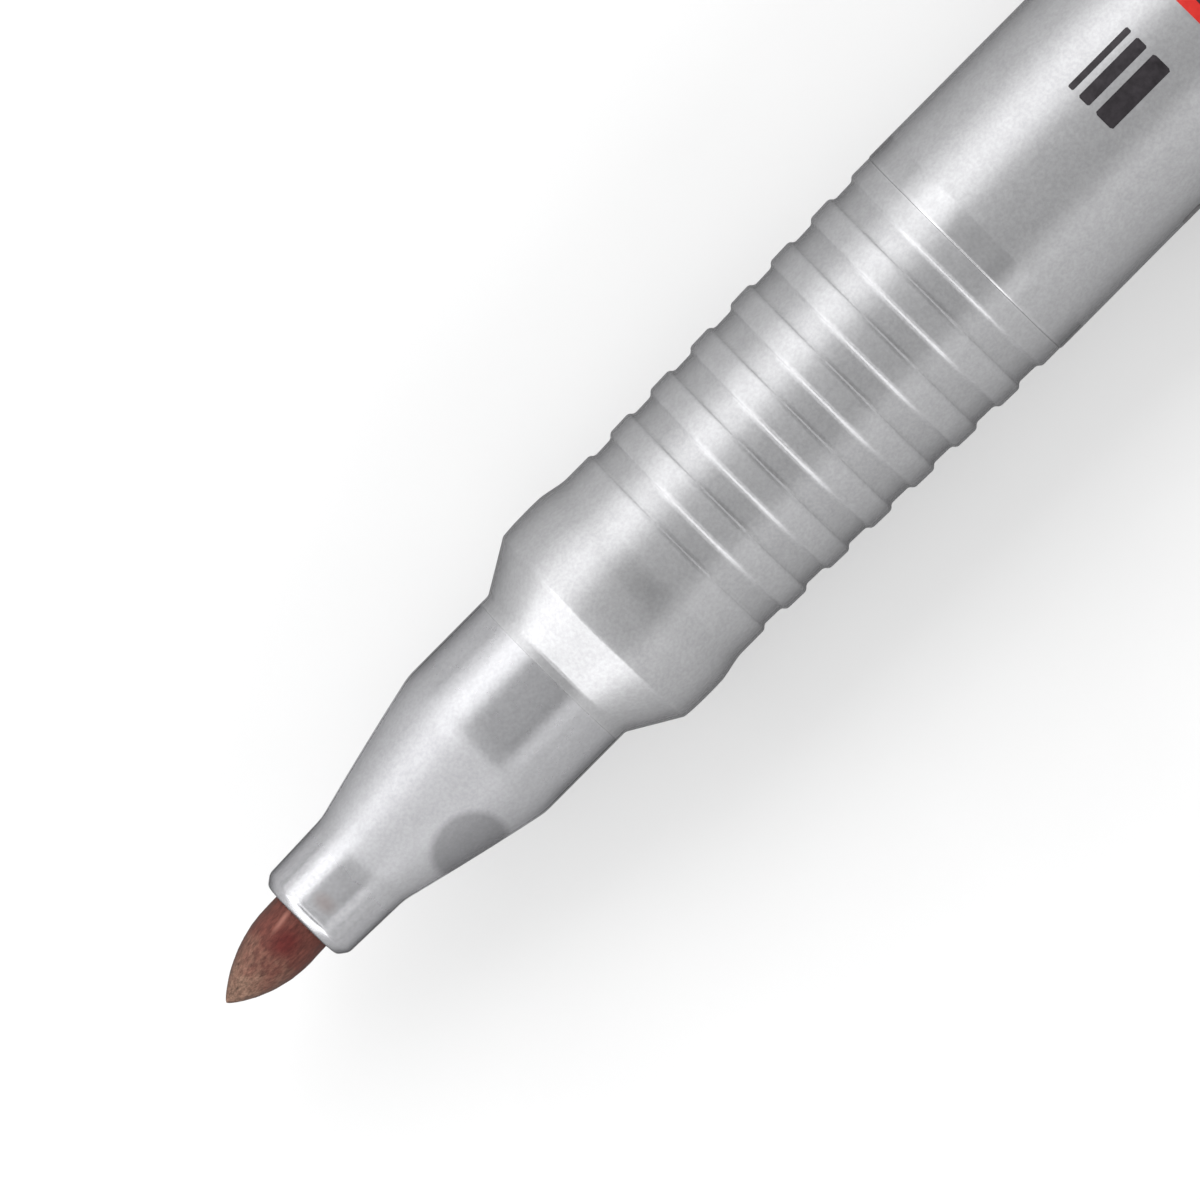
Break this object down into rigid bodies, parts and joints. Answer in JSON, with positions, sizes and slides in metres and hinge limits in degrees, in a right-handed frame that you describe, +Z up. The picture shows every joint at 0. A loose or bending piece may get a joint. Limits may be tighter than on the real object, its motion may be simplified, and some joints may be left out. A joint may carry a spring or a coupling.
{
  "type": "permanent marker",
  "caption": "Round permanent marker with a bullet nib, ribbed silver grip and barrel, and a red cap with a pocket clip pushed on its tail.",
  "frame": {"origin": "centre of the bounding box, on the surface that the marker lies on", "axes": "+X along the marker from the nib to the tail, +Z up from the surface, the clip on the -Y side"},
  "size_m": [0.1516, 0.015, 0.013],
  "materials": {
    "nib_fibre": "bonded fibre soaked with red ink",
    "nose_plastic": "smooth metallic silver moulding",
    "silver_plastic": "satin metallic silver moulding",
    "film": "thin clear film stained by ink",
    "reservoir_fibre": "fibre bundle soaked with red ink",
    "red_plastic": "glossy coloured moulding",
    "white_plastic": "soft natural moulding",
    "dark_ink": "screen-printed ink on the barrel",
    "red_ink": "screen-printed ink on the barrel"
  },
  "bodies": {
    "marker": {"nib": "nib_fibre", "nib_holder": "nose_plastic", "grip_section": "silver_plastic", "barrel": "silver_plastic", "reservoir_film": "film", "reservoir_core": "reservoir_fibre", "tail_plug": "red_plastic"},
    "cap": {"cap_shell": "red_plastic", "cap_liner": "white_plastic", "cap_crown": "red_plastic"},
    "clip": {"cap_clip": "red_plastic"}
  },
  "joints": [
    {"name": "cap_pull", "type": "slide", "parent": "marker", "child": "cap", "axis": [1, 0, 0], "range_m": [0, 0.02]},
    {"name": "clip_bend", "type": "hinge", "parent": "cap", "child": "clip", "pos_m": [0.07147, -0.00376, 0.00341], "axis": [0, -0.5414, 0.8408], "range_deg": [0, 4], "stiffness_Nm_per_rad": 0.6}
  ]
}
